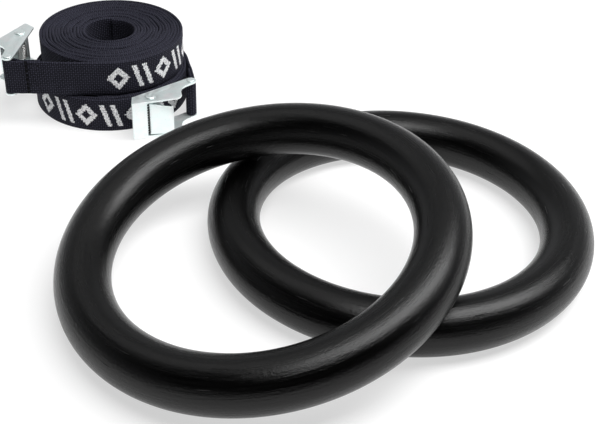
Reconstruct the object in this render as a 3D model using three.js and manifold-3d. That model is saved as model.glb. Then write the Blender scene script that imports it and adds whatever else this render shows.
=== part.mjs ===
// Gymnastics rings laid down as stored: two wooden rings, one leaning on the other,
// and two webbing straps rolled up, stacked, each ending in a cam buckle.
// Millimetres, +Z up, +X to the right and +Y away from the viewer.
import * as THREE from "three";
import { mergeVertices } from "three/addons/utils/BufferGeometryUtils.js";
import Module from "manifold-3d";

const wasm = await Module();
wasm.setup();

// Rings
const RING_MID_RADIUS = 101.5;
const GRIP_RADIUS = 16;
const GRIP_SIDES = 22;
const RING_SIDES = 64;
const RIGHT_RING = { x: 61.1, y: -26.2 };
const LEFT_RING = { x: -21.43, y: -85.37, leanX: -0.1809, leanY: -0.1297, floorGap: 0.05 };

// Webbing
const WEB_WIDTH = 25;
const WEB_THICKNESS = 1.5;
const CORE_RADIUS = 17;
const STACK_GAP = 0.3;
const SEWN_LENGTH = 22;
const LOOP_TURN = 3.66;
const LOWER_ROLL = { x: -143, y: 146, radius: 55.25, z: 0 };
const UPPER_ROLL = { x: -142.5, y: 149.5, radius: 51, z: WEB_WIDTH + STACK_GAP };

// Cam buckle: x from the strap bar to the mouth, y outwards, z up from the lower rivet head
const CHEEK = 1.2;
const INNER_WIDTH = 26;
const HEAD_HEIGHT = 0.6;
const HEAD_GAP = 0.25;
const HEAD_RADIUS = 3;
const PIN_RADIUS = 2;
const PIN_CLEARANCE = 0.3;
const BUCKLE_LENGTH = 52;
const ARM_RADIUS = 4;
const MOUTH_DEPTH = 4.2;
const MOUTH_CUT = 5;
const SHOULDER_DEPTH = 15.6;
const SHOULDER_X = 22;
const PLATE_END_X = 42.5;
const PIVOT = { x: 36.5, y: 3 };
const NOSE = { x: 41.4, y: 7.2 };
const THUMB_END = { x: 28, y: 15.4 };
const LEVER_SHEET = 1.3;
const LEVER_SIDE_GAP = 0.8;
const TOOTH_PITCH = 2;
const TOOTH_DEPTH = 0.8;
const WEB_TO_HEAD = 2.35;
const LOWER_BUCKLE = { x: 61.5, y: -29.1, heading: 221.4, z: 0 };
const UPPER_BUCKLE = { x: -61.5, y: -55.5, heading: 85, z: UPPER_ROLL.z };

const DEG = Math.PI / 180;
const group = new THREE.Group();

const BLACK_WOOD = { color: 0x141414, roughness: 0.4, metalness: 0 };
const BLACK_WEB = { color: 0x17171d, roughness: 0.85, metalness: 0 };
const BLACK_THREAD = { color: 0x0e0e12, roughness: 0.7, metalness: 0 };
const ZINC = { color: 0xc9d2d2, roughness: 0.3, metalness: 1 };
const SPRING_STEEL = { color: 0x9a9c9e, roughness: 0.35, metalness: 1 };

function addPart(name, geometry, look) {
  const mesh = new THREE.Mesh(geometry, new THREE.MeshStandardMaterial(look));
  mesh.name = name;
  group.add(mesh);
}

function arc(x, y, radius, from, to, steps) {
  const points = [];
  for (let i = 0; i <= steps; i += 1) {
    const angle = from + ((to - from) * i) / steps;
    points.push([x + radius * Math.cos(angle), y + radius * Math.sin(angle)]);
  }
  return points;
}

function circle(x, y, radius, steps) {
  return arc(x, y, radius, 0, 2 * Math.PI, steps).slice(0, -1);
}

// A solid with the given plan outline and holes between two heights.
function prism(outline, low, high, holes = []) {
  const points = outline.map(([x, y]) => new THREE.Vector2(x, y));
  if (THREE.ShapeUtils.isClockWise(points)) {
    points.reverse();
  }
  const shape = new THREE.Shape(points);
  for (const hole of holes) {
    shape.holes.push(new THREE.Path(hole.map(([x, y]) => new THREE.Vector2(x, y))));
  }
  const geometry = new THREE.ExtrudeGeometry(shape, { depth: high - low, bevelEnabled: false });
  return geometry.translate(0, 0, low);
}

function toManifold(geometry) {
  const bare = geometry.clone();
  bare.deleteAttribute("normal");
  bare.deleteAttribute("uv");
  const merged = mergeVertices(bare, 1e-4);
  return new wasm.Manifold(
    new wasm.Mesh({
      numProp: 3,
      vertProperties: new Float32Array(merged.attributes.position.array),
      triVerts: new Uint32Array(merged.index.array),
    }),
  );
}

function fromManifold(solid) {
  const mesh = solid.getMesh();
  const geometry = new THREE.BufferGeometry();
  geometry.setAttribute("position", new THREE.BufferAttribute(mesh.vertProperties, 3));
  geometry.setIndex(new THREE.BufferAttribute(mesh.triVerts, 1));
  const flat = geometry.toNonIndexed();
  flat.computeVertexNormals();
  return flat;
}

function joined(geometries) {
  return fromManifold(wasm.Manifold.union(geometries.map(toManifold)));
}

// Rings: the grip section is a polygon whose flats clear the true radius,
// so a ring stands on a flat facet.
function ringGeometry() {
  const tube = GRIP_RADIUS / Math.cos(Math.PI / GRIP_SIDES);
  return new THREE.TorusGeometry(RING_MID_RADIUS, tube, GRIP_SIDES, RING_SIDES);
}

addPart(
  "right_ring",
  ringGeometry().translate(RIGHT_RING.x, RIGHT_RING.y, GRIP_RADIUS),
  BLACK_WOOD,
);

const leanNormal = new THREE.Vector3(LEFT_RING.leanX, LEFT_RING.leanY, 1).normalize();
const leanTurn = new THREE.Quaternion().setFromUnitVectors(new THREE.Vector3(0, 0, 1), leanNormal);
const leftRing = ringGeometry().applyQuaternion(leanTurn);
leftRing.computeBoundingBox();
addPart(
  "left_ring",
  leftRing.translate(LEFT_RING.x, LEFT_RING.y, LEFT_RING.floorGap - leftRing.boundingBox.min.z),
  BLACK_WOOD,
);

// A rolled strap seen from above. It winds clockwise, its outer wrap grows by one
// thickness per turn and leaves along a tangent to a loop sewn round the strap bar.
function strapLines(roll, bar) {
  const loopRadius = PIN_RADIUS + PIN_CLEARANCE + WEB_THICKNESS;
  const outerRadius = roll.radius + WEB_THICKNESS;
  const spacing = Math.hypot(bar.x, bar.y);
  const bearing = Math.atan2(bar.y, bar.x);
  const normal = bearing + Math.acos((outerRadius - loopRadius) / spacing);
  const along = normal - Math.PI / 2;
  const end = { x: roll.x + bar.x, y: roll.y + bar.y };
  const run = Math.sqrt(spacing ** 2 - (outerRadius - loopRadius) ** 2);
  // A point measured back from the bar along the strap, and out from the bar's axis.
  const at = (back, out) => [
    end.x - back * Math.cos(along) + out * Math.cos(normal),
    end.y - back * Math.sin(along) + out * Math.sin(normal),
  ];
  return { loopRadius, outerRadius, normal, end, run, at };
}

function strapGeometry(roll, bar, rise) {
  const { loopRadius, outerRadius, normal, end, run, at } = strapLines(roll, bar);
  const contact = 6;
  const single = loopRadius - WEB_THICKNESS;
  const double = loopRadius - 2 * WEB_THICKNESS;
  const firstAngle = normal - contact / roll.radius;
  const lastAngle = normal - 2 * Math.PI;
  const spiral = [];
  const steps = 84;
  for (let i = 0; i < steps; i += 1) {
    const share = i / steps;
    const angle = firstAngle + (lastAngle - firstAngle) * share;
    const radius = roll.radius + WEB_THICKNESS * share;
    spiral.push([roll.x + radius * Math.cos(angle), roll.y + radius * Math.sin(angle)]);
  }
  const tangent = [roll.x + outerRadius * Math.cos(normal), roll.y + outerRadius * Math.sin(normal)];
  const joinBack = SEWN_LENGTH - 6;
  const rollBody = prism(
    [tangent, at(joinBack, loopRadius), at(joinBack, single), at(run - contact, single), ...spiral],
    roll.z,
    roll.z + WEB_WIDTH,
    [circle(roll.x, roll.y, CORE_RADIUS, 48)],
  );
  const loopOutline = [
    at(SEWN_LENGTH + 3, loopRadius),
    ...arc(end.x, end.y, loopRadius, normal, normal - LOOP_TURN, 18),
    at(9, double),
    at(SEWN_LENGTH, double),
    at(SEWN_LENGTH, single),
    at(SEWN_LENGTH + 3, single),
  ];
  const barHole = [
    ...arc(end.x, end.y, PIN_RADIUS + PIN_CLEARANCE, normal, normal - LOOP_TURN, 18),
    at(8, single),
  ];
  const loop = prism(loopOutline, roll.z + rise, roll.z + rise + WEB_WIDTH, [barHole]);
  return joined([rollBody, loop]);
}

// Box stitch with a cross on the outer face of the sewn loop.
function stitchingGeometry(roll, bar, rise) {
  const { loopRadius, normal, at } = strapLines(roll, bar);
  const length = SEWN_LENGTH - 11;
  const height = WEB_WIDTH - 7;
  const line = 0.9;
  const border = [
    [0, 0],
    [length, 0],
    [length, height],
    [0, height],
  ];
  const middle = [length / 2, height / 2];
  const windows = border.map((corner, i) => {
    const next = border[(i + 1) % 4];
    const centre = [(corner[0] + next[0] + middle[0]) / 3, (corner[1] + next[1] + middle[1]) / 3];
    const shrink = 1 - (2.4 * line) / Math.min(length, height);
    return [corner, next, middle].map(([x, y]) => [
      centre[0] + (x - centre[0]) * shrink,
      centre[1] + (y - centre[1]) * shrink,
    ]);
  });
  const flat = prism(border, 0, 0.4, windows);
  // Stand it up: plan x runs back from the bar, plan y upwards, thickness outwards.
  const [startX, startY] = at(10, loopRadius + 0.3);
  const [nextX, nextY] = at(11, loopRadius + 0.3);
  const back = new THREE.Vector3(nextX - startX, nextY - startY, 0);
  const up = new THREE.Vector3(0, 0, 1);
  const out = new THREE.Vector3(Math.cos(normal), Math.sin(normal), 0);
  const frame = new THREE.Matrix4().makeBasis(back, up, out);
  const standing = flat.applyMatrix4(frame);
  return standing.translate(startX, startY, roll.z + rise + 3.5);
}

// A riveted pin: shaft with a low round head at each end, clear of the cheeks.
function pinGeometry(x, y) {
  const top = 2 * (HEAD_HEIGHT + HEAD_GAP + CHEEK) + INNER_WIDTH;
  const profile = [
    [0, 0],
    [HEAD_RADIUS - 0.4, 0],
    [HEAD_RADIUS, HEAD_HEIGHT],
    [PIN_RADIUS, HEAD_HEIGHT],
    [PIN_RADIUS, top - HEAD_HEIGHT],
    [HEAD_RADIUS, top - HEAD_HEIGHT],
    [HEAD_RADIUS - 0.4, top],
    [0, top],
  ].map(([radius, height]) => new THREE.Vector2(radius, height));
  return new THREE.LatheGeometry(profile, 24).rotateX(Math.PI / 2).translate(x, y, 0);
}

function outerEdge(x) {
  const slope = (SHOULDER_DEPTH - MOUTH_DEPTH) / (BUCKLE_LENGTH - SHOULDER_X);
  return MOUTH_DEPTH + slope * (BUCKLE_LENGTH - x);
}

function frameGeometry() {
  const low = HEAD_HEIGHT + HEAD_GAP;
  const high = low + 2 * CHEEK + INNER_WIDTH;
  const outline = [
    [BUCKLE_LENGTH - MOUTH_CUT, -ARM_RADIUS],
    [BUCKLE_LENGTH, MOUTH_DEPTH - CHEEK],
    [BUCKLE_LENGTH, MOUTH_DEPTH],
    [SHOULDER_X, SHOULDER_DEPTH],
    [19.4, 15.3],
    [17.2, 13.6],
    [15.6, 10.8],
    [13.8, 7.8],
    [11.2, 5.6],
    [8, 4.5],
    ...arc(0, 0, ARM_RADIUS, Math.PI / 2, 1.5 * Math.PI, 12),
  ];
  const hole = PIN_RADIUS + PIN_CLEARANCE;
  const holes = [circle(0, 0, hole, 20), circle(PIVOT.x, PIVOT.y, hole, 20)];
  const plate = [
    [BUCKLE_LENGTH, MOUTH_DEPTH],
    [PLATE_END_X, outerEdge(PLATE_END_X)],
    [PLATE_END_X, outerEdge(PLATE_END_X) - CHEEK],
    [BUCKLE_LENGTH, MOUTH_DEPTH - CHEEK],
  ];
  return joined([
    prism(outline, low, low + CHEEK, holes),
    prism(outline, high - CHEEK, high, holes),
    prism(plate, low, high),
  ]);
}

// Cam lever: two ears on the axle, a thumb plate across them and a toothed nose.
function leverGeometry() {
  const low = HEAD_HEIGHT + HEAD_GAP + CHEEK + LEVER_SIDE_GAP;
  const high = low + INNER_WIDTH - 2 * LEVER_SIDE_GAP;
  const tilt = Math.atan2(THUMB_END.y - NOSE.y, THUMB_END.x - NOSE.x);
  const inward = [Math.sin(tilt) * -LEVER_SHEET, Math.cos(tilt) * LEVER_SHEET];
  const thumb = [
    [NOSE.x, NOSE.y],
    [THUMB_END.x, THUMB_END.y],
    [THUMB_END.x - 2.2, THUMB_END.y + 0.2],
    [THUMB_END.x - 2.6, THUMB_END.y - 1.1],
    [THUMB_END.x + inward[0], THUMB_END.y + inward[1]],
    [NOSE.x + inward[0], NOSE.y + inward[1]],
  ];
  const ear = [
    ...arc(PIVOT.x, PIVOT.y, 4.2, Math.PI, 2 * Math.PI, 12),
    [NOSE.x - 0.6, NOSE.y - 0.8],
    [THUMB_END.x + 2.5, THUMB_END.y - 2.2],
  ];
  const hole = circle(PIVOT.x, PIVOT.y, PIN_RADIUS + PIN_CLEARANCE, 20);
  const teeth = [[0, low]];
  const count = Math.round((high - low) / TOOTH_PITCH);
  const pitch = (high - low) / count;
  for (let i = 0; i < count; i += 1) {
    teeth.push([TOOTH_DEPTH, low + (i + 0.3) * pitch]);
    teeth.push([TOOTH_DEPTH, low + (i + 0.7) * pitch]);
    teeth.push([0, low + (i + 1) * pitch]);
  }
  teeth.push([-1, high], [-1, low]);
  const comb = prism(teeth, -1.6, 0).rotateX(Math.PI / 2);
  comb.translate(NOSE.x - 0.3, NOSE.y - 1.7, 0);
  return joined([
    prism(thumb, low, high),
    prism(ear, low, low + CHEEK, [hole]),
    prism(ear, high - CHEEK, high, [hole]),
    comb,
  ]);
}

// Torsion spring round the axle, its coils drawn as one ring.
function springGeometry() {
  const middle = HEAD_HEIGHT + HEAD_GAP + CHEEK + INNER_WIDTH / 2;
  const profile = [
    [2.35, -6],
    [3.7, -6],
    [3.7, 6],
    [2.35, 6],
    [2.35, -6],
  ].map(([radius, height]) => new THREE.Vector2(radius, height));
  return new THREE.LatheGeometry(profile, 24).rotateX(Math.PI / 2).translate(PIVOT.x, PIVOT.y, middle);
}

function addStrap(prefix, roll, buckle) {
  const rise = buckle.z + WEB_TO_HEAD - roll.z;
  addPart(`${prefix}_strap`, strapGeometry(roll, buckle, rise), BLACK_WEB);
  addPart(`${prefix}_stitching`, stitchingGeometry(roll, buckle, rise), BLACK_THREAD);
  const pieces = [
    ["buckle_frame", frameGeometry(), ZINC],
    ["strap_bar", pinGeometry(0, 0), ZINC],
    ["axle_pin", pinGeometry(PIVOT.x, PIVOT.y), ZINC],
    ["cam_lever", leverGeometry(), ZINC],
    ["cam_spring", springGeometry(), SPRING_STEEL],
  ];
  for (const [name, geometry, look] of pieces) {
    geometry.rotateZ(buckle.heading * DEG);
    geometry.translate(roll.x + buckle.x, roll.y + buckle.y, buckle.z);
    addPart(`${prefix}_${name}`, geometry, look);
  }
}

addStrap("lower", LOWER_ROLL, LOWER_BUCKLE);
addStrap("upper", UPPER_ROLL, UPPER_BUCKLE);

// Origin: middle of the footprint, on the floor.
const box = new THREE.Box3().setFromObject(group);
for (const mesh of group.children) {
  mesh.geometry.translate(
    -(box.min.x + box.max.x) / 2,
    -(box.min.y + box.max.y) / 2,
    -box.min.z,
  );
}

export default group;
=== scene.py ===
import math

import bmesh
import bpy
import numpy as np
from mathutils import Matrix, Vector, noise


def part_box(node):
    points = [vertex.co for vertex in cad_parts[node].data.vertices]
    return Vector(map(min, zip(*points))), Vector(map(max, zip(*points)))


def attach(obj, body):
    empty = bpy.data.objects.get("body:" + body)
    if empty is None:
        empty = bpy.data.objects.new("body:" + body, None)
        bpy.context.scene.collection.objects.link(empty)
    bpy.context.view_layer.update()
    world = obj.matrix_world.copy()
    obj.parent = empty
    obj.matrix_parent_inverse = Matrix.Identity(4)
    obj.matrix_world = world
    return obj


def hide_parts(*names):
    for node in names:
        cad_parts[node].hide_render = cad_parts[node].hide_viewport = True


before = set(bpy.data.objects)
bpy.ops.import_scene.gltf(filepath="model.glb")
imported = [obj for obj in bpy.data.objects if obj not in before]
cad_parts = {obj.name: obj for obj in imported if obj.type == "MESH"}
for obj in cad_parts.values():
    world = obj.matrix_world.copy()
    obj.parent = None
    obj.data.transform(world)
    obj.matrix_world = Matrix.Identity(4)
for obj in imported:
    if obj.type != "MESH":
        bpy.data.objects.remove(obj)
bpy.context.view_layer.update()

MM = 0.001

# Floor and studio, with the lights in metres and aimed at the middle of the floor.
# The room is lightest low down behind the object, and dim overhead and in front.
FLOOR_SIZE = 12
FLOOR_COLOUR = (0.42, 0.42, 0.42, 1)
FLOOR_GLOW = 0.6
ROOM_COLOUR = (0.97, 0.98, 1.0, 1)
ROOM_AT_HORIZON = 0.5
ROOM_OVERHEAD = 0.02
ROOM_FADE_HEIGHT = 0.7
ROOM_LEAN = 0.4
LIGHTS = {
    "key": {"place": (0.48, -0.12, 1.16), "size": (1.5, 0.62), "watts": 22, "spin": -45},
    "overhead": {"place": (0, 0.5, 1.5), "size": (2.4, 1.0), "watts": 7.0, "spin": 0},
}

# Camera: over the floor, looking down at the two rings
RIGHT_RING_FROM_VIEW_AXIS = (61.1, -26.2)
CAMERA_BACK = 584.2
CAMERA_HEIGHT = 408.1
CAMERA_ROLL = math.radians(2.18)
CAMERA_LENS = 66.62
CAMERA_SENSOR = 36

# Rings
RING_MID_RADIUS = 101.5
GRIP_RADIUS = 16.0
LEFT_RING_LEAN = (-0.1809, -0.1297, 1)
RING_STEPS = 288
GRIP_STEPS = 56
OUT_OF_ROUND = 0.05
GRAIN_LENGTH = 26.0
GRAIN_WIDTH = 1.5

# Webbing. A roll starts at its core, runs straight to the bar, turns round it and is sewn
# to itself. "to_bar" is the bar's place from the roll's centre, "lift" is how far single
# turns stand up out of the roll, and the woven band starts so far from the bar.
WEB_WIDTH = 25.0
WEB_THICKNESS = 1.5
CLOTH_THICKNESS = 1.4
ROLL_THICKNESS = 1.95
CORE_RADIUS = 17.0
LOOP_CENTRE_LINE = 3.05
SEWN_CENTRE_LINE = 1.55
SEWN_START = 9.0
SEWN_LENGTH = 22.0
LOOP_TURN = 3.66
WEB_TO_HEAD = 2.35
LAST_GAP = 0.25
LEAST_GAP = 0.04
TAIL_BOW = 0.5
EDGE_ROUNDING = 0.16
EDGE_THICKNESS = 0.62
FINE_FRAY = 0.12
SEWN_WAVE = 1.3
LOWEST_EDGE = -0.25
STEPS_PER_TURN = 120
TAIL_STEPS = 26
LOOP_STEPS = 22
SEWN_STEPS = 9
ROLLS = {
    "lower": {
        "to_bar": (61.5, -29.1),
        "radius": 55.25,
        "turns": 14.6,
        "lift": 0.25,
        "pattern_start": 237,
        "seed": 3,
    },
    "upper": {
        "to_bar": (-61.5, -55.5),
        "radius": 51.0,
        "turns": 15.5,
        "lift": 0.7,
        "pattern_start": 66,
        "seed": 8,
    },
}

# The woven band on the webbing's outer face: motifs side by side, diamonds and pairs of
# slanted bars in turn, cut to whole woven cells
PATTERN_LENGTH = 121.0
PATTERN_REPEAT = 400.0
PATTERN_HALF_HEIGHT = 8.6
MOTIFS = 7
CELL = 0.75
DIAMOND_HALF_WIDTH = 7.6
DIAMOND_OUTSIDE = 1.04
DIAMOND_INSIDE = 0.44
BAR_SLANT = 0.3
BAR_FROM_MIDDLE = 3.7
BAR_HALF_WIDTH = 1.7
RIB_PITCH = 1.5
ROW_PITCH = 1.4

# Stitching: a row at the seam, and a box with a cross behind it
SEAM_BACK = 12.4
BOX_BACK = 20.8
BOX_MARGIN = 2.2
SEAM_HALF_WIDTH = 1.0
STITCH_LENGTH = 2.7
STITCH_PITCH = 3.3
SEAM_THREAD = 0.48
BOX_THREAD = 0.24

# Cam buckle, in its own frame: x from the strap bar to the mouth, y outwards, z up
PIVOT = (36.5, 3.0)
PIN_RADIUS = 2.0
HEAD_RADIUS = 3.0
HEAD_HEIGHT = 0.6
BUCKLE_HEIGHT = 30.1
NOSE_X = 41.4
NOSE_Y = 7.2
THUMB_END_X = 28.0
THUMB_DROP = 3.6
NOSE_SETBACK = 1.3
NOSE_SLOPE = 0.61
TOOTH_PITCH = 2.0
TOOTH_SHARE = 0.55
TEETH_LOW = 3.4
TEETH_HIGH = 26.8
FRAME_EDGE = 0.4
LEVER_EDGE = 0.3
EDGE_SEGMENTS = 3
EDGE_ANGLE = math.radians(32)
FLAT_ANGLE = math.radians(1)
WELD_DISTANCE = 1e-6
AXLE_DOME = 1.2
DOME_RISE = 2.2
SPRING_COILS = 9
SPRING_STEPS = 28
SPRING_WIRE = 0.55
SPRING_RADIUS = 3.05
SPRING_LOW = 9.7
SPRING_HIGH = 20.4


# ---------------------------------------------------------------- camera, floor, lights

ring_low, ring_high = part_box("right_ring")
ring_centre = (ring_low + ring_high) / (2 * MM)
view_foot = Vector(
    (ring_centre.x - RIGHT_RING_FROM_VIEW_AXIS[0], ring_centre.y - RIGHT_RING_FROM_VIEW_AXIS[1], 0)
)


def add_camera():
    data = bpy.data.cameras.new("camera")
    data.sensor_width = CAMERA_SENSOR
    data.lens = CAMERA_LENS
    data.clip_start = 0.01
    data.clip_end = 20
    camera = bpy.data.objects.new("camera", data)
    bpy.context.scene.collection.objects.link(camera)
    place = view_foot + Vector((0, -CAMERA_BACK, CAMERA_HEIGHT))
    turn = (view_foot - place).to_track_quat("-Z", "Y").to_matrix()
    roll = Matrix.Rotation(CAMERA_ROLL, 3, "Z")
    camera.matrix_world = Matrix.Translation(place * MM) @ (turn @ roll).to_4x4()
    bpy.context.scene.camera = camera


add_camera()


def add_area_light(name, place, size, watts, spin):
    data = bpy.data.lights.new(name, "AREA")
    data.shape = "RECTANGLE"
    data.size, data.size_y = size
    data.energy = watts
    light = bpy.data.objects.new(name, data)
    bpy.context.scene.collection.objects.link(light)
    light.location = place
    facing = (-Vector(place)).to_track_quat("-Z", "Y").to_matrix()
    light.rotation_euler = (facing @ Matrix.Rotation(math.radians(spin), 3, "Z")).to_euler()


def add_studio():
    world = bpy.data.worlds.new("studio")
    world.use_nodes = True
    tree = world.node_tree
    background = tree.nodes["Background"]
    background.inputs["Color"].default_value = ROOM_COLOUR
    direction = tree.nodes.new("ShaderNodeTexCoord")
    split = tree.nodes.new("ShaderNodeSeparateXYZ")
    fade = tree.nodes.new("ShaderNodeMapRange")
    fade.inputs["From Min"].default_value = 0.0
    fade.inputs["From Max"].default_value = ROOM_FADE_HEIGHT
    fade.inputs["To Min"].default_value = ROOM_AT_HORIZON
    fade.inputs["To Max"].default_value = ROOM_OVERHEAD
    tree.links.new(direction.outputs["Generated"], split.inputs[0])
    lean = tree.nodes.new("ShaderNodeMath")
    lean.operation = "MULTIPLY_ADD"
    lean.inputs[1].default_value = -ROOM_LEAN
    tree.links.new(split.outputs["Y"], lean.inputs[0])
    tree.links.new(split.outputs["Z"], lean.inputs[2])
    tree.links.new(lean.outputs[0], fade.inputs["Value"])
    tree.links.new(fade.outputs["Result"], background.inputs["Strength"])
    bpy.context.scene.world = world
    bpy.context.scene.view_settings.view_transform = "Standard"
    for name, facts in LIGHTS.items():
        add_area_light(name, **facts)


# ---------------------------------------------------------------- mesh helpers


def mesh_object(name, vertices, faces, material, smooth=True):
    """A mesh from millimetres, shown in metres."""
    mesh = bpy.data.meshes.new(name)
    points = np.asarray(vertices, float) * MM
    mesh.from_pydata(points.tolist(), [], faces)
    mesh.validate()
    mesh.update()
    if smooth:
        mesh.polygons.foreach_set("use_smooth", [True] * len(mesh.polygons))
    mesh.materials.append(material)
    piece = bpy.data.objects.new(name, mesh)
    bpy.context.scene.collection.objects.link(piece)
    return piece


def point_attribute(piece, name, values, kind="FLOAT"):
    attribute = piece.data.attributes.new(name, kind, "POINT")
    field = "vector" if kind == "FLOAT_VECTOR" else "value"
    attribute.data.foreach_set(field, np.asarray(values, np.float32).ravel())


def loft(rows, columns, closed_rows, closed_columns, first=0):
    """Faces of a grid of points: rows of sections, each with the given number of points."""
    faces = []
    for i in range(rows if closed_rows else rows - 1):
        j = (i + 1) % rows
        for a in range(columns if closed_columns else columns - 1):
            b = (a + 1) % columns
            corners = ((i, a), (i, b), (j, b), (j, a))
            faces.append(tuple(first + row * columns + column for row, column in corners))
    return faces


def unit(v):
    return v / np.linalg.norm(v, axis=-1, keepdims=True)


def tube(path, radius, sides=8, taper=0.0):
    """Points and faces of a closed round bar along a path. taper thins its two ends."""
    path = np.asarray(path, float)
    along = unit(np.gradient(path, axis=0))
    side = np.array((0.0, 0.0, 1.0))
    if abs(along[0] @ side) > 0.9:
        side = np.array((1.0, 0.0, 0.0))
    points = []
    for i, (place, direction) in enumerate(zip(path, along)):
        side = unit(side - (side @ direction) * direction)
        other = np.cross(direction, side)
        share = i / (len(path) - 1)
        r = radius * (1 - taper * (2 * share - 1) ** 4)
        for k in range(sides):
            angle = 2 * math.pi * k / sides
            points.append(place + r * (math.cos(angle) * side + math.sin(angle) * other))
    faces = loft(len(path), sides, False, True)
    faces.append(tuple(range(sides))[::-1])
    last = (len(path) - 1) * sides
    faces.append(tuple(last + k for k in range(sides)))
    return np.array(points), faces


def lathe(profile, sides=40):
    """Points and faces of a solid turned about z. The profile starts and ends on the axis."""
    inner = profile[1:-1]
    points = [(0, 0, profile[0][1])]
    for radius, height in inner:
        for k in range(sides):
            angle = 2 * math.pi * k / sides
            points.append((radius * math.cos(angle), radius * math.sin(angle), height))
    points.append((0, 0, profile[-1][1]))
    faces = [(0, 1 + (k + 1) % sides, 1 + k) for k in range(sides)]
    faces += [tuple(f) for f in loft(len(inner), sides, False, True, first=1)]
    last, start = len(points) - 1, 1 + (len(inner) - 1) * sides
    faces += [(last, start + k, start + (k + 1) % sides) for k in range(sides)]
    return np.array(points, float), faces


def joined(parts):
    """One list of points and faces from several."""
    points, faces = [], []
    for part_points, part_faces in parts:
        first = sum(len(p) for p in points)
        points.append(np.asarray(part_points, float))
        faces += [tuple(first + i for i in face) for face in part_faces]
    return np.concatenate(points), faces


def moved(part, x=0.0, y=0.0, z=0.0):
    return part[0] + np.array((x, y, z)), part[1]


# ---------------------------------------------------------------- material helpers


class Number:
    """A number in a node tree, so that a pattern reads as arithmetic."""

    def __init__(self, tree, socket):
        self.tree, self.socket = tree, socket

    def _do(self, operation, *values):
        node = self.tree.nodes.new("ShaderNodeMath")
        node.operation = operation
        for place, value in zip(node.inputs, values):
            if isinstance(value, Number):
                self.tree.links.new(value.socket, place)
            else:
                place.default_value = value
        return Number(self.tree, node.outputs[0])

    def __add__(self, other):
        return self._do("ADD", self, other)

    def __sub__(self, other):
        return self._do("SUBTRACT", self, other)

    def __rsub__(self, other):
        return self._do("SUBTRACT", other, self)

    def __mul__(self, other):
        return self._do("MULTIPLY", self, other)

    def __truediv__(self, other):
        return self._do("DIVIDE", self, other)

    def __lt__(self, other):
        return self._do("LESS_THAN", self, other)

    def __gt__(self, other):
        return self._do("GREATER_THAN", self, other)

    def floor(self):
        return self._do("FLOOR", self)

    def fraction(self):
        return self._do("FRACT", self)

    def size(self):
        return self._do("ABSOLUTE", self)

    def sine(self):
        return self._do("SINE", self)

    def wrapped(self, period):
        return (self / period).fraction() * period

    def eased(self, low, high):
        """0 below low, 1 above high, smooth between."""
        node = self.tree.nodes.new("ShaderNodeMapRange")
        node.interpolation_type = "SMOOTHSTEP"
        node.inputs["From Min"].default_value = low
        node.inputs["From Max"].default_value = high
        self.tree.links.new(self.socket, node.inputs["Value"])
        return Number(self.tree, node.outputs["Result"])


class Material:
    """A Principled material whose sockets are set by name."""

    def __init__(self, name, **constants):
        self.material = bpy.data.materials.new(name)
        self.material.use_nodes = True
        self.tree = self.material.node_tree
        self.shader = self.tree.nodes["Principled BSDF"]
        for socket, value in constants.items():
            self.shader.inputs[socket.replace("_", " ")].default_value = value

    def node(self, kind, **settings):
        made = self.tree.nodes.new(kind)
        for name, value in settings.items():
            setattr(made, name, value)
        return made

    def number(self, socket):
        return Number(self.tree, socket)

    def attribute(self, name):
        return self.node("ShaderNodeAttribute", attribute_name=name)

    def noise(self, vector, scale, detail=2.0, w=None, roughness=0.5):
        made = self.node("ShaderNodeTexNoise", noise_dimensions="3D" if w is None else "4D")
        made.inputs["Scale"].default_value = scale
        made.inputs["Detail"].default_value = detail
        made.inputs["Roughness"].default_value = roughness
        self.tree.links.new(vector, made.inputs["Vector"])
        if w is not None:
            self.tree.links.new(w, made.inputs["W"])
        return self.number(made.outputs["Fac"])

    def spots(self, vector, scale, w=None):
        """Distance to the nearest of many scattered points."""
        made = self.node("ShaderNodeTexVoronoi", voronoi_dimensions="3D" if w is None else "4D")
        made.inputs["Scale"].default_value = scale
        self.tree.links.new(vector, made.inputs["Vector"])
        if w is not None:
            self.tree.links.new(w, made.inputs["W"])
        return self.number(made.outputs["Distance"])

    def vector(self, x, y, z):
        made = self.node("ShaderNodeCombineXYZ")
        for value, place in zip((x, y, z), made.inputs):
            if isinstance(value, Number):
                self.tree.links.new(value.socket, place)
            else:
                place.default_value = value
        return made.outputs["Vector"]

    def blend(self, factor, first, second):
        """A colour between two, each a colour or a socket."""
        made = self.node("ShaderNodeMix", data_type="RGBA")
        self.tree.links.new(factor.socket, made.inputs["Factor"])
        colours = [place for place in made.inputs if place.type == "RGBA"]
        for value, place in zip((first, second), colours):
            if isinstance(value, tuple):
                place.default_value = (*value, 1)
            else:
                self.tree.links.new(value, place)
        return next(place for place in made.outputs if place.type == "RGBA")

    def drive(self, socket, value):
        self.tree.links.new(getattr(value, "socket", value), self.shader.inputs[socket])

    def bump(self, height, depth_mm):
        made = self.node("ShaderNodeBump")
        made.inputs["Strength"].default_value = 1.0
        made.inputs["Distance"].default_value = depth_mm * MM
        self.tree.links.new(height.socket, made.inputs["Height"])
        self.tree.links.new(made.outputs["Normal"], self.shader.inputs["Normal"])


# ---------------------------------------------------------------- materials

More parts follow.
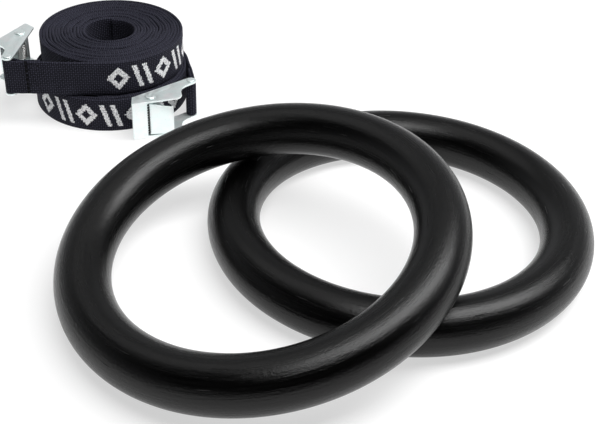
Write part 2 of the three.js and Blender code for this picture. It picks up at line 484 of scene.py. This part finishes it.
WOOD_DARK = (0.0002, 0.0002, 0.0002)
WOOD_LIGHT = (0.0009, 0.0009, 0.0009)
WOOD_SCUFFED = (0.03, 0.03, 0.029)
YARN_DARK = (0.001, 0.001, 0.003)
YARN_LIGHT = (0.048, 0.048, 0.07)
# Dust on the webbing, and a painted highlight along its edges
YARN_DUST_AND_EDGE_LIGHT = (0.058, 0.058, 0.085)
BAND_DARK = (0.45, 0.45, 0.48)
BAND_LIGHT = (1.0, 1.0, 1.0)
SEAM_SHADOW = (0.0005, 0.0005, 0.0008)
THREAD_DARK = (0.0008, 0.0008, 0.001)
THREAD_LIGHT = (0.005, 0.005, 0.007)
ZINC_GREEN = (0.90, 1.0, 0.99)
ZINC_PALE = (0.97, 1.0, 1.0)
ZINC_DULL = (0.5, 0.6, 0.6)
# Painted shade: the cam's teeth are dark to stand for the shadowed gaps between them
TOOTH_SHADE_DARK = (0.02, 0.024, 0.025)
TOOTH_SHADE_LIGHT = (0.07, 0.08, 0.08)
SPRING_DARK = (0.30, 0.30, 0.30)
SPRING_LIGHT = (0.55, 0.55, 0.54)


def wood_material():
    """Black stain and satin lacquer over turned wood. The grain runs round the ring."""
    made = Material("black_wood", IOR=1.36)
    grain = made.attribute("grain").outputs["Vector"]
    grain_w = made.attribute("grain_w").outputs["Fac"]
    place = made.node("ShaderNodeTexCoord").outputs["Object"]
    streaks = made.noise(grain, 1.0, 4.0, grain_w, 0.62)
    broad = made.noise(grain, 0.16, 2.0, grain_w)
    sparkle = made.noise(place, 720.0, 3.0, roughness=0.75)
    pores = made.spots(grain, 0.9, grain_w)
    pits = 1 - pores.eased(0.06, 0.2)
    scuffs = made.noise(grain, 0.42, 5.0, grain_w, 0.75).eased(0.70, 0.76)
    base = made.blend(streaks.eased(0.35, 0.7), WOOD_DARK, WOOD_LIGHT)
    made.drive("Base Color", made.blend(scuffs * 0.7, base, WOOD_SCUFFED))
    uneven = (streaks - 0.5) * 0.35 + (broad - 0.5) * 0.2
    made.drive("Roughness", uneven + pits * 0.3 + scuffs * 0.2 + 0.23)
    made.bump(streaks * 0.55 + (broad - 0.5) * 0.6 + sparkle * 0.6 - pits * 0.7, 0.3)
    return made.material


def webbing_material(name, pattern_start):
    """Ribbed black webbing with a woven band of light diamonds and bars on its outer face."""
    made = Material(
        name, Roughness=0.8, Specular_IOR_Level=0.12, Sheen_Weight=0.08, Sheen_Roughness=0.4
    )
    made.shader.inputs["Sheen Tint"].default_value = (0.62, 0.62, 0.85, 1)
    along = made.number(made.attribute("along").outputs["Fac"])
    across = made.number(made.attribute("across").outputs["Fac"])
    outside = made.number(made.attribute("outside").outputs["Fac"])

    rib = (along / RIB_PITCH).fraction()
    row = (across / ROW_PITCH).fraction()
    parity = ((along / RIB_PITCH).floor() + (across / ROW_PITCH).floor()).wrapped(2.0)
    rib_round = (rib * math.pi).sine()
    row_round = (row * math.pi).sine()
    weave = (rib_round * row_round).eased(0.25, 0.85) * (parity * 0.45 + 0.55)
    place = made.vector(along * 0.12, across * 0.12, outside)
    wear = made.noise(place, 1.0, 3.0)
    fibre = made.noise(made.vector(along * 2.2, across * 4.5, outside), 1.0, 2.0)

    # The band is cut to whole woven cells, so its edges step as woven ones do.
    cell_u = ((along / CELL).floor() + 0.5) * CELL - pattern_start + PATTERN_REPEAT
    cell_v = ((across / CELL).floor() + 0.5) * CELL - WEB_WIDTH / 2
    in_repeat = cell_u.wrapped(PATTERN_REPEAT)
    motif = PATTERN_LENGTH / MOTIFS
    local = in_repeat.wrapped(motif) - motif / 2
    jitter = (made.noise(made.vector(cell_u * 0.7, cell_v * 0.7, 0.0), 1.0, 0.0) - 0.5) * 0.28
    diamond = local.size() / DIAMOND_HALF_WIDTH + cell_v.size() / PATTERN_HALF_HEIGHT + jitter
    diamond_ring = (diamond < DIAMOND_OUTSIDE) * (diamond > DIAMOND_INSIDE)
    slanted = local + cell_v * BAR_SLANT + jitter * 1.6
    bars = (slanted.size() - BAR_FROM_MIDDLE).size() < BAR_HALF_WIDTH
    which = (in_repeat / motif).floor().wrapped(2.0)
    is_bar = which > 0.5
    in_height = cell_v.size() < PATTERN_HALF_HEIGHT
    light = (bars * is_bar + diamond_ring * (1 - is_bar)) * in_height
    light = light * (in_repeat < PATTERN_LENGTH) * (outside > 0.9)

    # Painted highlight: the webbing is lighter towards both edges, where light falls on the wraps'
    # edges; the wear noise adds real dust.
    edge = (across - WEB_WIDTH / 2).size().eased(11.6, 12.4)
    yarn = made.blend(weave * 0.9 + fibre * 0.5 - 0.15, YARN_DARK, YARN_LIGHT)
    dust_and_edge_light = made.blend(wear.eased(0.42, 0.75) * 0.1 + edge * 0.16, yarn, YARN_DUST_AND_EDGE_LIGHT)
    specks = made.noise(made.vector(cell_u * 1.3, cell_v * 1.3, 3.0), 1.0, 0.0).eased(0.36, 0.5)
    light_yarn = made.blend(weave * 0.35 + specks * 0.75, BAND_DARK, BAND_LIGHT)
    # The seam pulls the cloth into a groove between its stitches; its shade is painted as a dark
    # band there.
    between = (across / STITCH_PITCH).fraction() < 0.72
    seam = ((along - SEAM_BACK).size() < SEAM_HALF_WIDTH) * between
    with_seam_shade = made.blend(seam * 0.9, dust_and_edge_light, SEAM_SHADOW)
    made.drive("Base Color", made.blend(light, with_seam_shade, light_yarn))
    made.bump(weave * 0.8 + fibre * 0.4 + light * 0.3 - seam * 1.2, 0.45)
    return made.material


def thread_material():
    made = Material("black_thread", Roughness=0.6, Specular_IOR_Level=0.1)
    place = made.node("ShaderNodeTexCoord").outputs["Object"]
    twist = made.noise(place, 2600.0, 1.0)
    made.drive("Base Color", made.blend(twist, THREAD_DARK, THREAD_LIGHT))
    made.bump(twist, 0.08)
    return made.material


def zinc_material():
    """Bright zinc plate: a cool, faintly green tint, drawn scratches and cloudy patches."""
    made = Material("zinc_plate", Metallic=0.75)
    place = made.node("ShaderNodeTexCoord").outputs["Object"]
    split = made.node("ShaderNodeSeparateXYZ")
    made.tree.links.new(place, split.inputs[0])
    x, y, z = (made.number(split.outputs[k]) for k in range(3))
    cloud = made.noise(place, 140.0, 3.0)
    grit = made.noise(place, 1500.0, 3.0, roughness=0.7)
    scratch = made.noise(made.vector(x * 220.0, y * 5200.0, z * 5200.0), 1.0, 2.0)
    tint = made.blend(cloud.eased(0.35, 0.7), ZINC_GREEN, ZINC_PALE)
    made.drive("Base Color", made.blend(grit.eased(0.6, 0.8), tint, ZINC_DULL))
    made.drive("Roughness", cloud * 0.12 + scratch * 0.12 + 0.2)
    made.bump(scratch * 0.4 + grit * 0.5 + cloud * 0.8, 0.035)
    return made.material


def tooth_material():
    """Dark steel on the cam's teeth: painted shade for the shadowed gaps along the cam's gripping
    edge.
    """
    made = Material("teeth_gap_shade_steel", Metallic=0.6, Roughness=0.45)
    place = made.node("ShaderNodeTexCoord").outputs["Object"]
    smear = made.noise(place, 900.0, 3.0)
    made.drive("Base Color", made.blend(smear, TOOTH_SHADE_DARK, TOOTH_SHADE_LIGHT))
    made.bump(smear, 0.05)
    return made.material


def spring_material():
    made = Material("spring_steel", Metallic=1.0)
    place = made.node("ShaderNodeTexCoord").outputs["Object"]
    draw = made.noise(place, 1100.0, 3.0)
    made.drive("Base Color", made.blend(draw, SPRING_DARK, SPRING_LIGHT))
    made.drive("Roughness", draw * 0.25 + 0.22)
    made.bump(draw, 0.03)
    return made.material


def floor_material():
    made = Material("floor", Roughness=0.9, Emission_Strength=FLOOR_GLOW)
    made.shader.inputs["Base Color"].default_value = FLOOR_COLOUR
    made.shader.inputs["Emission Color"].default_value = (1, 1, 1, 1)
    made.shader.inputs["Specular IOR Level"].default_value = 0.1
    return made.material


# ---------------------------------------------------------------- rings


def add_ring(name, normal, seed):
    """A turned ring. Its grain coordinates close on themselves both ways round."""
    low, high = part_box(name)
    centre = (low + high) / (2 * MM)
    turn = Vector((0, 0, 1)).rotation_difference(Vector(normal).normalized())
    long_way = RING_MID_RADIUS / GRAIN_LENGTH
    short_way = GRIP_RADIUS / GRAIN_WIDTH
    points, grain, grain_w = [], [], []
    for i in range(RING_STEPS):
        a = 2 * math.pi * i / RING_STEPS
        for k in range(GRIP_STEPS):
            b = 2 * math.pi * k / GRIP_STEPS
            # Turned and sanded by hand, the grip is a few hundredths out of round.
            wobble = noise.noise(Vector((3 * math.cos(a), 3 * math.sin(a), seed + math.cos(b))))
            upper_half = max(0.0, math.sin(b) + 0.6)
            grip = GRIP_RADIUS - 0.03 + OUT_OF_ROUND * wobble * upper_half
            reach = RING_MID_RADIUS + grip * math.cos(b)
            point = turn @ Vector((reach * math.cos(a), reach * math.sin(a), grip * math.sin(b)))
            points.append(centre + point)
            grain.append(
                (long_way * math.cos(a) + seed, long_way * math.sin(a), short_way * math.cos(b))
            )
            grain_w.append(short_way * math.sin(b))
    faces = loft(RING_STEPS, GRIP_STEPS, True, True)
    ring = mesh_object(name + "_wood", points, faces, wood)
    point_attribute(ring, "grain", grain, "FLOAT_VECTOR")
    point_attribute(ring, "grain_w", grain_w)
    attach(ring, name)
    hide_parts(name)


# ---------------------------------------------------------------- straps


def smooth_noise(x, seed):
    return noise.noise(Vector((x, 7.3 * seed, 1.7)))


def box_centre(node):
    low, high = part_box(node)
    return (low + high) / (2 * MM), low / MM


class StrapLine:
    """Where a strap runs: its roll's centre, the tangent it leaves by and its bar."""

    def __init__(self, which):
        facts = ROLLS[which]
        bar, bar_low = box_centre(which + "_strap_bar")
        strap_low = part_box(which + "_strap")[0] / MM
        self.bar = np.array((bar.x, bar.y))
        to_bar = np.array(facts["to_bar"])
        self.roll = self.bar - to_bar
        self.floor = strap_low.z
        self.rise = bar_low.z + WEB_TO_HEAD - strap_low.z
        self.end_radius = facts["radius"] + WEB_THICKNESS / 2
        spacing = math.hypot(*to_bar)
        bearing = math.atan2(to_bar[1], to_bar[0])
        self.normal = bearing + math.acos((self.end_radius - LOOP_CENTRE_LINE) / spacing)
        self.out = np.array((math.cos(self.normal), math.sin(self.normal)))
        self.along = np.array((math.sin(self.normal), -math.cos(self.normal)))
        self.run = math.sqrt(spacing**2 - (self.end_radius - LOOP_CENTRE_LINE) ** 2)

    def at(self, back, out):
        """A point so far back from the bar along the strap and so far out from its axis."""
        return self.bar - back * self.along + out * self.out


def roll_radii(line, turns, seed):
    """Radius of the rolled strap's middle line, step by step from its inner end.
    The gaps between wraps vary, but in every direction they add up to the same roll."""
    n = STEPS_PER_TURN
    steps = round(turns * n)
    first = CORE_RADIUS + CLOTH_THICKNESS / 2
    mean_pitch = (line.end_radius - first) / turns
    radii = np.zeros(steps + 1)
    for j in range(n):
        chain = np.arange(j, steps + 1, n)
        start = first + mean_pitch * j / n
        end = line.end_radius - (ROLL_THICKNESS + LAST_GAP) * (steps - chain[-1]) / n
        weights = []
        for i in chain[1:]:
            turn, angle = i / n, 2 * math.pi * i / n
            wave = smooth_noise(1.9 * math.cos(angle) + 0.83 * turn, seed + math.sin(angle))
            lump = smooth_noise(0.9 * turn + 2.0 * math.sin(angle), seed + 5 + math.cos(angle))
            waves = max(0.0, 0.1 + 1.2 * wave) ** 1.5
            lumps = 5 * max(0.0, lump - 0.1) ** 1.5
            weights.append(LEAST_GAP + waves + lumps)
        weights = np.array(weights)
        gaps = weights / weights.sum() * (end - start - ROLL_THICKNESS * len(weights))
        radii[chain] = start + np.concatenate([[0], np.cumsum(ROLL_THICKNESS + gaps)])
    kernel = np.hanning(9)[1:-1]
    padded = np.concatenate([np.full(3, radii[0]), radii, np.full(3, radii[-1])])
    smoothed = np.convolve(padded, kernel / kernel.sum(), "valid")
    keep = np.minimum(np.arange(steps + 1), steps - np.arange(steps + 1)) < 4
    return np.where(keep, radii, smoothed)


def strap_path(which):
    """Middle line of a strap from its inner end to its sewn end, and each point's height."""
    facts, line = ROLLS[which], StrapLine(which)
    radii = roll_radii(line, facts["turns"], facts["seed"])
    steps = len(radii) - 1
    points, lift = [], []
    for i, radius in enumerate(radii):
        angle = line.normal + 2 * math.pi * (steps - i) / STEPS_PER_TURN
        points.append(line.roll + radius * np.array((math.cos(angle), math.sin(angle))))
        turn = i / STEPS_PER_TURN
        swing = math.sin(2.6 * turn + 1.3 * smooth_noise(turn * 1.7, 4))
        lift.append(facts["lift"] * (0.5 + 0.5 * swing))
    last_lift = lift[-1]
    for i in range(1, TAIL_STEPS + 1):
        share = i / TAIL_STEPS
        bow = TAIL_BOW * math.sin(math.pi * share) ** 2
        points.append(line.at(line.run * (1 - share), LOOP_CENTRE_LINE + bow))
        ease = share * share * (3 - 2 * share)
        lift.append(last_lift + (line.rise - last_lift) * ease)
    for i in range(1, LOOP_STEPS + 1):
        angle = line.normal - LOOP_TURN * i / LOOP_STEPS
        points.append(line.bar + LOOP_CENTRE_LINE * np.array((math.cos(angle), math.sin(angle))))
        lift.append(line.rise)
    for back in np.linspace(SEWN_START, SEWN_LENGTH, SEWN_STEPS):
        points.append(line.at(back, SEWN_CENTRE_LINE))
        lift.append(line.rise)
    return line, np.array(points), np.array(lift)


def web_profile():
    """Section of the webbing: (thickness share, height, outer-face mark)."""
    half = CLOTH_THICKNESS / 2
    heights = (0.7, 4.0, 8.5, 12.5, 16.5, 21.0, WEB_WIDTH - 0.7)
    thin = EDGE_THICKNESS * half
    high = WEB_WIDTH - EDGE_ROUNDING
    outer = [(half, h, 1.0) for h in heights]
    top = [(thin, high, 0.5), (0.0, WEB_WIDTH, 0.5), (-thin, high, 0.5)]
    inner = [(-half, h, 0.0) for h in heights[::-1]]
    bottom = [(-thin, EDGE_ROUNDING, 0.5), (0.0, 0.0, 0.5), (thin, EDGE_ROUNDING, 0.5)]
    return outer + top + inner + bottom


def add_strap(which):
    line, path, lift = strap_path(which)
    profile = web_profile()
    tangent = unit(np.gradient(path, axis=0))
    left = np.stack([-tangent[:, 1], tangent[:, 0]], axis=1)
    length = np.concatenate([[0], np.cumsum(np.linalg.norm(np.diff(path, axis=0), axis=1))])
    bar_index = len(path) - 1 - SEWN_STEPS - LOOP_STEPS
    from_bar = length[bar_index] - length
    points, along, across, outside = [], [], [], []
    full = (ROLL_THICKNESS - 0.1) / CLOTH_THICKNESS
    for place, side, up, s in zip(path, left, lift, from_bar):
        sewn = max(0.0, 1 - abs(s) / 30)
        # Loose in the roll, the cloth is drawn thinner towards the seam.
        loose = min(1.0, max(0.0, (s - line.run * 0.4) / (line.run * 0.6)))
        swell = 1 + (full - 1) * loose
        for thickness, height, mark in profile:
            thickness *= swell
            fray = FINE_FRAY * smooth_noise(s * 0.9, height)
            fray += SEWN_WAVE * sewn * smooth_noise(s * 0.2, 2.0)
            # The lower edge stays clear of the buckle's cheek.
            edge = 0.0
            if height < 1:
                edge = max(LOWEST_EDGE, fray)
            elif height > WEB_WIDTH - 1:
                edge = 0.5 * fray
            xy = place + thickness * side
            z = max(0.02, line.floor + up + height + edge)
            points.append((xy[0], xy[1], z))
            along.append(s)
            across.append(height)
            outside.append(mark)
    count = len(profile)
    faces = [face[::-1] for face in loft(len(path), count, False, True)]
    faces.append(tuple(range(count)))
    last = (len(path) - 1) * count
    faces.append(tuple(last + k for k in range(count))[::-1])
    material = webbing_material(which + "_webbing", ROLLS[which]["pattern_start"])
    strap = mesh_object(which + "_webbing", points, faces, material)
    point_attribute(strap, "along", along)
    point_attribute(strap, "across", across)
    point_attribute(strap, "outside", outside)
    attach(strap, which + "_strap")
    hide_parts(which + "_strap")
    print(which, "strap length", round(float(length[-1])), "mm")
    return line


def stitch(start, end, out, radius):
    """One stitch of thread, lying on the webbing and diving into it at both ends."""
    start, end, out = (np.asarray(v, float) for v in (start, end, out))
    shares = np.linspace(0, 1, 7)
    rises = [0.34 * math.sin(math.pi * s) ** 0.5 - 0.12 for s in shares]
    path = [start + (end - start) * s + out * rise for s, rise in zip(shares, rises)]
    return tube(path, radius, 6, taper=0.35)


def add_stitching(which, line):
    """A row across the strap behind the bar, and a box with a cross behind that row."""
    base = line.floor + line.rise
    face = LOOP_CENTRE_LINE + CLOTH_THICKNESS / 2

    def spot(back, height):
        x, y = line.at(back, face)
        return np.array((x, y, base + height))

    out = np.array((line.out[0], line.out[1], 0.0))
    low, high = BOX_MARGIN, WEB_WIDTH - BOX_MARGIN
    corners = [(SEAM_BACK, low), (BOX_BACK, low), (BOX_BACK, high), (SEAM_BACK, high)]
    lines = [
        (corners[3], corners[0]),
        (corners[0], corners[1]),
        (corners[1], corners[2]),
        (corners[2], corners[3]),
        (corners[0], corners[2]),
        (corners[1], corners[3]),
    ]
    parts = []
    for number, ((back_a, height_a), (back_b, height_b)) in enumerate(lines):
        radius = SEAM_THREAD if number == 0 else BOX_THREAD
        a, b = spot(back_a, height_a), spot(back_b, height_b)
        count = max(2, round(np.linalg.norm(b - a) / STITCH_PITCH))
        for i in range(count):
            middle = (i + 0.5) / count
            half = 0.5 * STITCH_LENGTH / STITCH_PITCH / count
            first = a + (b - a) * (middle - half)
            last = a + (b - a) * (middle + half)
            parts.append(stitch(first, last, out, radius))
    points, faces = joined(parts)
    piece = mesh_object(which + "_thread", points, faces, thread)
    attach(piece, which + "_strap")
    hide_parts(which + "_stitching")


# ---------------------------------------------------------------- buckles


def buckle_frame_matrix(which):
    """From the buckle's own frame, in metres, to the row frame."""
    bar, low = box_centre(which + "_strap_bar")
    pin, _ = box_centre(which + "_axle_pin")
    heading = math.atan2(pin.y - bar.y, pin.x - bar.x) - math.atan2(PIVOT[1], PIVOT[0])
    place = Vector((bar.x, bar.y, low.z)) * MM
    return Matrix.Translation(place) @ Matrix.Rotation(heading, 4, "Z")


def place_in_buckle(piece, which, body, node):
    piece.matrix_world = buckle_frame_matrix(which)
    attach(piece, f"{which}_{body}")
    if node:
        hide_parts(f"{which}_{node}")


def soften(piece, width_mm):
    bevel = piece.modifiers.new("soft edges", "BEVEL")
    bevel.width = width_mm * MM
    bevel.segments = EDGE_SEGMENTS
    bevel.limit_method = "ANGLE"
    bevel.angle_limit = EDGE_ANGLE
    bevel.harden_normals = True


def slope_thumb_plate(mesh):
    """Drop the lever's upper edge towards its free end and set its plate back from its teeth."""
    for vertex in mesh.verts:
        if vertex.co.x > (NOSE_X - 1.5) * MM and vertex.co.y > (NOSE_Y - 0.4) * MM:
            vertex.co.x -= NOSE_SETBACK * MM
            vertex.co.y += NOSE_SETBACK * NOSE_SLOPE * MM
        if vertex.co.z > BUCKLE_HEIGHT * MM / 2:
            share = (NOSE_X * MM - vertex.co.x) / ((NOSE_X - THUMB_END_X) * MM)
            vertex.co.z -= THUMB_DROP * MM * min(1.0, max(0.0, share))


def pressed_copy(which, node, body, width_mm):
    """A CAD sheet-metal piece with its flat faces merged and its cut edges rolled over."""
    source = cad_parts[f"{which}_{node}"]
    mesh = bmesh.new()
    mesh.from_mesh(source.data)
    bmesh.ops.transform(mesh, matrix=buckle_frame_matrix(which).inverted(), verts=mesh.verts)
    bmesh.ops.remove_doubles(mesh, verts=mesh.verts, dist=WELD_DISTANCE)
    bmesh.ops.dissolve_limit(
        mesh, angle_limit=FLAT_ANGLE, verts=mesh.verts, edges=mesh.edges
    )
    if node == "cam_lever":
        slope_thumb_plate(mesh)
    data = bpy.data.meshes.new(f"{which}_{node}_plate")
    mesh.to_mesh(data)
    mesh.free()
    data.polygons.foreach_set("use_smooth", [True] * len(data.polygons))
    data.materials.clear()
    data.materials.append(zinc)
    piece = bpy.data.objects.new(data.name, data)
    bpy.context.scene.collection.objects.link(piece)
    soften(piece, width_mm)
    place_in_buckle(piece, which, body, node)


def add_teeth(which):
    """The knurled gripping edge of the cam: a row of small wedges along its nose."""
    parts = []
    count = round((TEETH_HIGH - TEETH_LOW) / TOOTH_PITCH)
    root = (NOSE_X - 1.4, NOSE_Y - 0.6)
    tip = (NOSE_X + 0.75, NOSE_Y + 0.25)
    back = (NOSE_X - 0.2, NOSE_Y + 1.6)
    section = [root, tip, back]
    for i in range(count):
        low = TEETH_LOW + (i + 0.2) * TOOTH_PITCH
        high = low + TOOTH_SHARE * TOOTH_PITCH
        points = [(x, y, low) for x, y in section] + [(x, y, high) for x, y in section]
        faces = [(2, 1, 0), (3, 4, 5), (0, 1, 4, 3), (1, 2, 5, 4), (2, 0, 3, 5)]
        parts.append((points, faces))
    points, faces = joined(parts)
    # The wedges carry the dark steel: painted shade for the gaps between the teeth.
    piece = mesh_object(f"{which}_cam_teeth", points, faces, teeth_gap_shade_steel, smooth=False)
    place_in_buckle(piece, which, "cam", None)


def add_pin(which, node, body, x, y, dome):
    """A round bar with a domed rivet head at each end; the upper head may stand higher."""
    top = BUCKLE_HEIGHT
    end = [
        (0, 0),
        (1.4, 0.02),
        (2.3, 0.12),
        (2.8, 0.32),
        (HEAD_RADIUS, HEAD_HEIGHT - 0.05),
        (HEAD_RADIUS - 0.12, HEAD_HEIGHT + 0.1),
        (PIN_RADIUS + 0.1, HEAD_HEIGHT + 0.12),
        (PIN_RADIUS, HEAD_HEIGHT + 0.3),
    ]
    rise = (dome - 1) * DOME_RISE
    raised = [(r * dome, top - h + (HEAD_HEIGHT - h) * rise) for r, h in end[:6]]
    profile = end + [(r, top - h) for r, h in end[:5:-1]] + raised[::-1]
    points, faces = moved(lathe(profile), x, y)
    piece = mesh_object(f"{which}_{node}_steel", points, faces, zinc)
    place_in_buckle(piece, which, body, node)


def add_spring(which):
    """Torsion spring: close coils round the axle and two short legs."""
    radius, low, high = SPRING_RADIUS, SPRING_LOW, SPRING_HIGH
    coils = []
    steps = SPRING_COILS * SPRING_STEPS
    for i in range(steps + 1):
        share = i / steps
        angle = 2 * math.pi * SPRING_COILS * share
        height = low + (high - low) * share
        coils.append((radius * math.cos(angle), radius * math.sin(angle), height))
    lower_leg = [(radius, -3.2, low), (radius, -1.6, low)]
    upper_leg = [(radius, 1.6, high), (radius, 3.4, high)]
    points, faces = moved(tube(lower_leg + coils + upper_leg, SPRING_WIRE), *PIVOT)
    piece = mesh_object(f"{which}_cam_spring_coil", points, faces, spring_steel)
    place_in_buckle(piece, which, "cam", "cam_spring")


def add_buckle(which):
    pressed_copy(which, "buckle_frame", "buckle", FRAME_EDGE)
    pressed_copy(which, "cam_lever", "cam", LEVER_EDGE)
    add_pin(which, "strap_bar", "buckle", 0, 0, 1.0)
    add_pin(which, "axle_pin", "buckle", *PIVOT, AXLE_DOME)
    add_teeth(which)
    add_spring(which)


# ---------------------------------------------------------------- everything

add_studio()
wood = wood_material()
thread = thread_material()
zinc = zinc_material()
spring_steel = spring_material()
teeth_gap_shade_steel = tooth_material()

bpy.ops.mesh.primitive_plane_add(size=FLOOR_SIZE)
floor = bpy.context.object
floor.name = "floor"
floor.data.materials.append(floor_material())

add_ring("right_ring", (0, 0, 1), 2)
add_ring("left_ring", LEFT_RING_LEAN, 9)
for strap_name in ROLLS:
    add_stitching(strap_name, add_strap(strap_name))
    add_buckle(strap_name)
